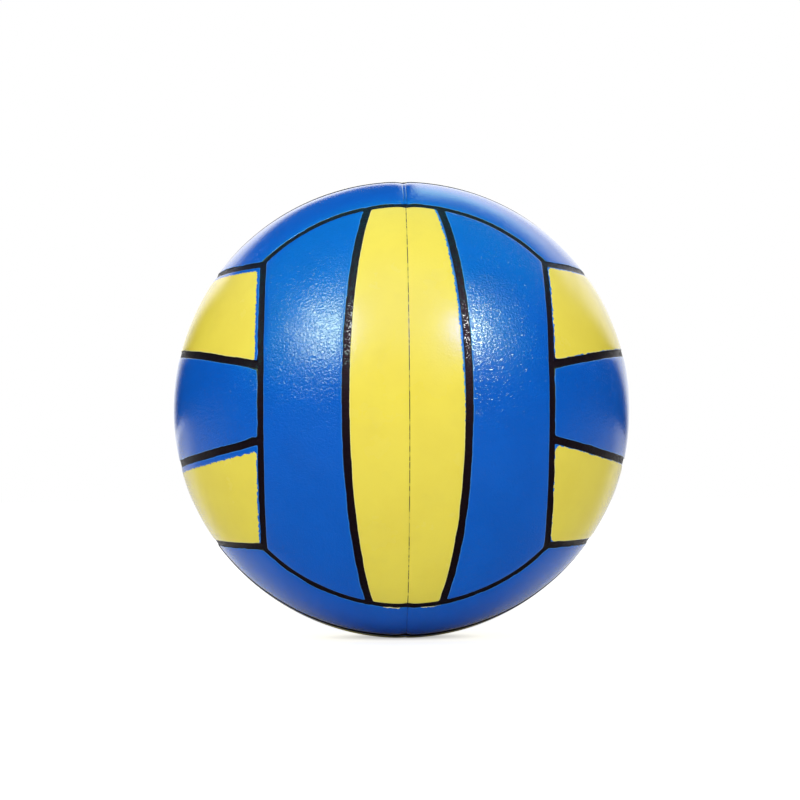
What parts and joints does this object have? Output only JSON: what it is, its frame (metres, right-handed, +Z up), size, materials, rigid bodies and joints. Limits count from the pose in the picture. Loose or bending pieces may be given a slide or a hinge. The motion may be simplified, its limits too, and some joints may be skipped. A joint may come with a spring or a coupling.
{
  "type": "volleyball",
  "caption": "Moulded rubber volleyball: strip panels in faces of three over a carcass, wound thread and a bladder, with a needle valve.",
  "frame": {"origin": "centre of the ball", "axes": "+Z up; -Y towards the viewer of the face whose strips stand upright; +X through the valve, in the middle of the right face; the mould line lies in the plane x = 0"},
  "size_m": [0.2099, 0.21, 0.21],
  "materials": {
    "blue_cover": "satin",
    "yellow_cover": "satin",
    "black_channel": "satin",
    "carcass_rubber": "matte",
    "nylon_thread": "satin",
    "bladder_rubber": "matte",
    "valve_rubber": "matte",
    "plug_rubber": "matte"
  },
  "bodies": {
    "root": {"front_left_panel": "blue_cover", "front_centre_panel": "yellow_cover", "front_right_panel": "blue_cover", "back_left_panel": "blue_cover", "back_centre_panel": "yellow_cover", "back_right_panel": "blue_cover", "left_bottom_panel": "yellow_cover", "left_centre_panel": "blue_cover", "left_top_panel": "yellow_cover", "right_bottom_panel": "yellow_cover", "right_centre_panel": "blue_cover", "right_top_panel": "yellow_cover", "top_front_panel": "blue_cover", "top_centre_panel": "yellow_cover", "top_back_panel": "blue_cover", "bottom_front_panel": "blue_cover", "bottom_centre_panel": "yellow_cover", "bottom_back_panel": "blue_cover", "channel_lining": "black_channel", "carcass": "carcass_rubber", "thread_winding": "nylon_thread", "bladder": "bladder_rubber", "valve_housing": "valve_rubber", "valve_plug": "plug_rubber"}
  },
  "joints": []
}
